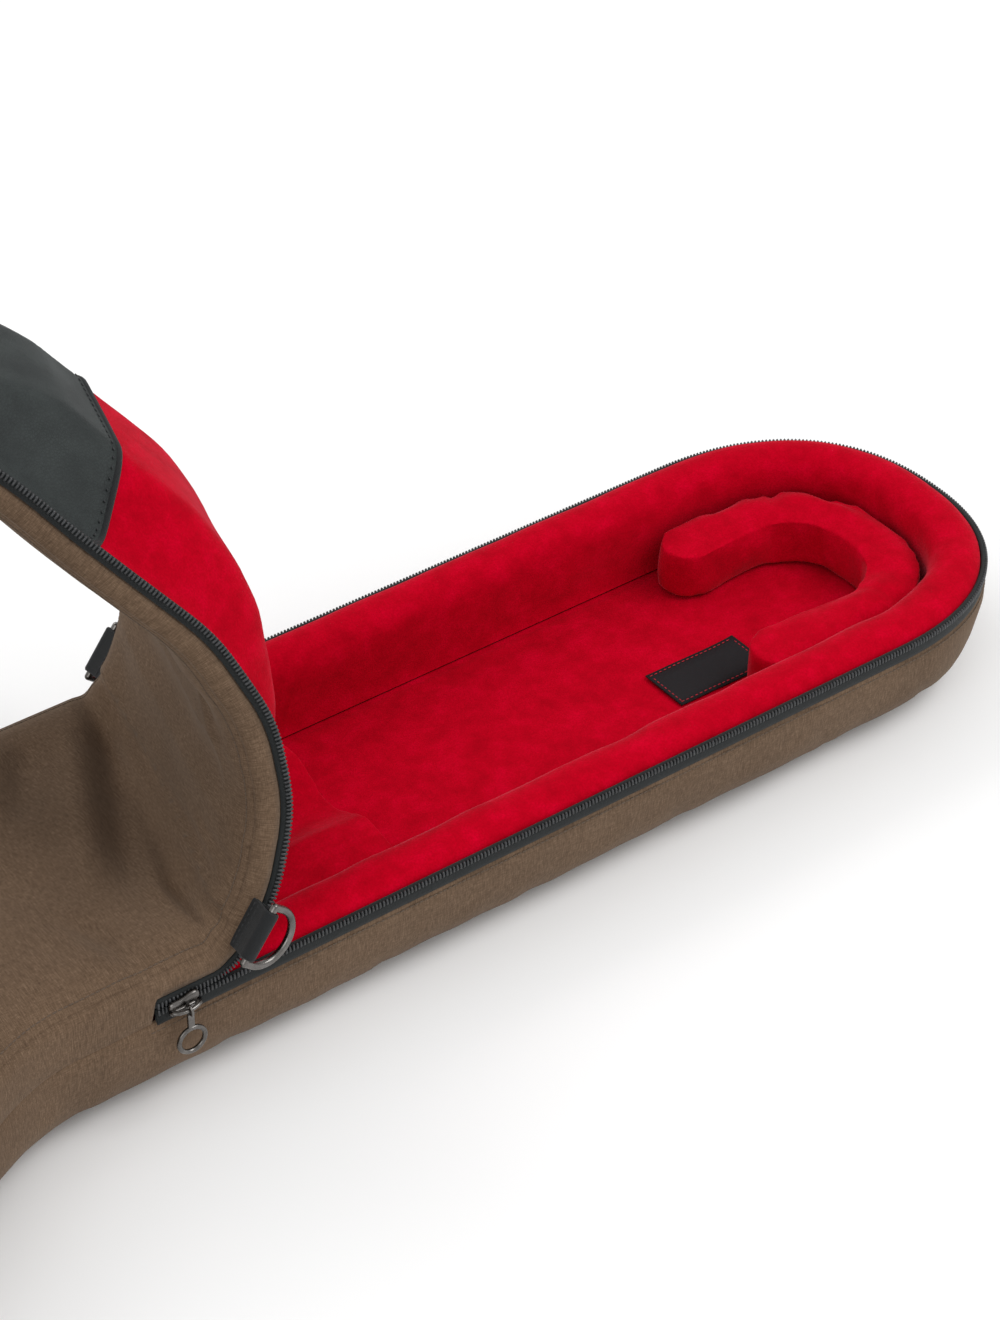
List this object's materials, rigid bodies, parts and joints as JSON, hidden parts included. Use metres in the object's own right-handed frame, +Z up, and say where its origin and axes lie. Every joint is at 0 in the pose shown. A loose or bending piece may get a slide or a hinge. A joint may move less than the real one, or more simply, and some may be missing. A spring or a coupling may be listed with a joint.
{
  "type": "padded gig bag",
  "caption": "Padded gig bag for a bass guitar, lying on its back, with its neck lid unzipped and folded back to show the plush-lined tray and headstock bolster.",
  "frame": {"origin": "on the underside, in the middle of the bag's length and width", "axes": "+X from the tail to the head end, +Y to the far side, +Z up, out of the open tray"},
  "size_m": [1.2652, 0.4606, 0.3929],
  "materials": {
    "outer_fabric": "woven melange, matt",
    "plush": "short pile plush",
    "foam": "closed-cell foam, matt",
    "zipper_tape": "woven tape",
    "zipper_teeth": "coil, satin",
    "webbing": "ribbed webbing",
    "grip": "padded, matt",
    "label": "woven satin, blank",
    "wear_panel": "fine grain, satin",
    "gunmetal": "dark polished nickel"
  },
  "bodies": {
    "bag": {"back_panel": "outer_fabric", "back_foam": "foam", "floor_lining": "plush", "side_gusset": "outer_fabric", "side_foam": "foam", "wall_lining": "plush", "tray_tape": "zipper_tape", "tray_teeth": "zipper_teeth", "front_gusset": "outer_fabric", "front_shell": "outer_fabric", "front_foam": "foam", "front_lining": "plush", "strap_left": "webbing", "strap_right": "webbing", "floor_label": "label", "pocket": "outer_fabric", "pocket_zipper": "zipper_tape", "handle_patches": "webbing", "rear_tab": "webbing"},
    "lid_1": {"lid_1_shell": "outer_fabric", "lid_1_pad": "plush", "lid_1_tape": "zipper_tape", "near_tab": "webbing", "forward_tab": "webbing"},
    "lid_2": {"lid_2_shell": "outer_fabric", "lid_2_pad": "plush", "lid_2_tape": "zipper_tape"},
    "lid_3": {"lid_3_shell": "outer_fabric", "lid_3_pad": "plush", "lid_3_tape": "zipper_tape"},
    "lid_4": {"lid_4_shell": "outer_fabric", "lid_4_pad": "plush", "lid_4_tape": "zipper_tape"},
    "lid_5": {"lid_5_shell": "outer_fabric", "lid_5_pad": "plush", "lid_5_tape": "zipper_tape", "wear_panel_rear": "wear_panel"},
    "lid_6": {"lid_6_shell": "outer_fabric", "lid_6_pad": "plush", "lid_6_tape": "zipper_tape", "wear_panel_head": "wear_panel"},
    "near_ring": {"near_ring": "gunmetal"},
    "forward_ring": {"forward_ring": "gunmetal"},
    "rear_ring": {"rear_ring": "gunmetal"},
    "near_slider": {"near_slider": "gunmetal"},
    "near_pull": {"near_pull": "gunmetal"},
    "far_slider": {"far_slider": "gunmetal"},
    "far_pull": {"far_pull": "gunmetal"},
    "pocket_slider": {"pocket_slider": "gunmetal"},
    "pocket_pull": {"pocket_pull": "gunmetal"},
    "handle": {"handle_strap": "webbing", "handle_grip": "grip"},
    "bolster": {"headstock_bolster": "plush"},
    "cradle": {"neck_cradle": "plush"}
  },
  "joints": [
    {"name": "lid_fold_1", "type": "hinge", "parent": "bag", "child": "lid_1", "pos_m": [0.14182, -0.038, 0.062], "axis": [0.2588, 0.9659, 0], "range_deg": [0, 50]},
    {"name": "lid_fold_2", "type": "hinge", "parent": "lid_1", "child": "lid_2", "pos_m": [0.16541, -0.04432, 0.09111], "axis": [0.2588, 0.9659, 0], "range_deg": [0, 22]},
    {"name": "lid_fold_3", "type": "hinge", "parent": "lid_2", "child": "lid_3", "pos_m": [0.17795, -0.04768, 0.13105], "axis": [0.2588, 0.9659, 0], "range_deg": [0, 22]},
    {"name": "lid_fold_4", "type": "hinge", "parent": "lid_3", "child": "lid_4", "pos_m": [0.17512, -0.04692, 0.17295], "axis": [0.2588, 0.9659, 0], "range_deg": [0, 22]},
    {"name": "lid_fold_5", "type": "hinge", "parent": "lid_4", "child": "lid_5", "pos_m": [0.15479, -0.04148, 0.21609], "axis": [0.2588, 0.9659, 0], "range_deg": [0, 17]},
    {"name": "lid_fold_6", "type": "hinge", "parent": "lid_5", "child": "lid_6", "pos_m": [0.06915, -0.01853, 0.31117], "axis": [0.2588, 0.9659, 0], "range_deg": [0, 18]},
    {"name": "near_ring_swing", "type": "hinge", "parent": "lid_1", "child": "near_ring", "pos_m": [0.1315, -0.10872, 0.08749], "axis": [0.6667, 0.0893, 0.7399], "range_deg": [-100, 4]},
    {"name": "forward_ring_swing", "type": "hinge", "parent": "lid_1", "child": "forward_ring", "pos_m": [0.18669, 0.11657, 0.08154], "axis": [0.6667, 0.0893, 0.7399], "range_deg": [-30, 90]},
    {"name": "rear_ring_swing", "type": "hinge", "parent": "bag", "child": "rear_ring", "pos_m": [0.15, 0.113, 0.056], "axis": [1, 0, 0], "range_deg": [-15, 90]},
    {"name": "near_slider_travel", "type": "slide", "parent": "bag", "child": "near_slider", "axis": [1, 0, 0], "range_m": [0, 0.38]},
    {"name": "near_pull_swing", "type": "hinge", "parent": "near_slider", "child": "near_pull", "pos_m": [0.095, -0.106, 0.0604], "axis": [1, 0, 0], "range_deg": [-110, 8]},
    {"name": "far_slider_travel", "type": "slide", "parent": "bag", "child": "far_slider", "axis": [1, 0, 0], "range_m": [0, 0.3]},
    {"name": "far_pull_swing", "type": "hinge", "parent": "far_slider", "child": "far_pull", "pos_m": [0.182, 0.106, 0.0604], "axis": [1, 0, 0], "range_deg": [-8, 75]},
    {"name": "pocket_slider_travel", "type": "slide", "parent": "bag", "child": "pocket_slider", "axis": [0, -1, 0], "range_m": [0, 0.184]},
    {"name": "pocket_pull_lift", "type": "hinge", "parent": "pocket_slider", "child": "pocket_pull", "pos_m": [-0.203, 0.092, 0.1165], "axis": [0, -1, 0], "range_deg": [0, 150]},
    {"name": "handle_lift", "type": "hinge", "parent": "bag", "child": "handle", "pos_m": [-0.24, 0.2006, 0.046], "axis": [1, 0, 0], "range_deg": [0, 80]},
    {"name": "bolster_lift_out", "type": "slide", "parent": "bag", "child": "bolster", "axis": [0, 0, 1], "range_m": [0, 0.09]},
    {"name": "cradle_adjust", "type": "slide", "parent": "bag", "child": "cradle", "axis": [1, 0, 0], "range_m": [-0.06, 0.18]}
  ],
  "couplings": [
    {"joint": "lid_fold_2", "follows": "lid_fold_1", "ratio": 0.44},
    {"joint": "lid_fold_3", "follows": "lid_fold_1", "ratio": 0.44},
    {"joint": "lid_fold_4", "follows": "lid_fold_1", "ratio": 0.44},
    {"joint": "lid_fold_5", "follows": "lid_fold_1", "ratio": 0.34},
    {"joint": "lid_fold_6", "follows": "lid_fold_1", "ratio": 0.36}
  ]
}
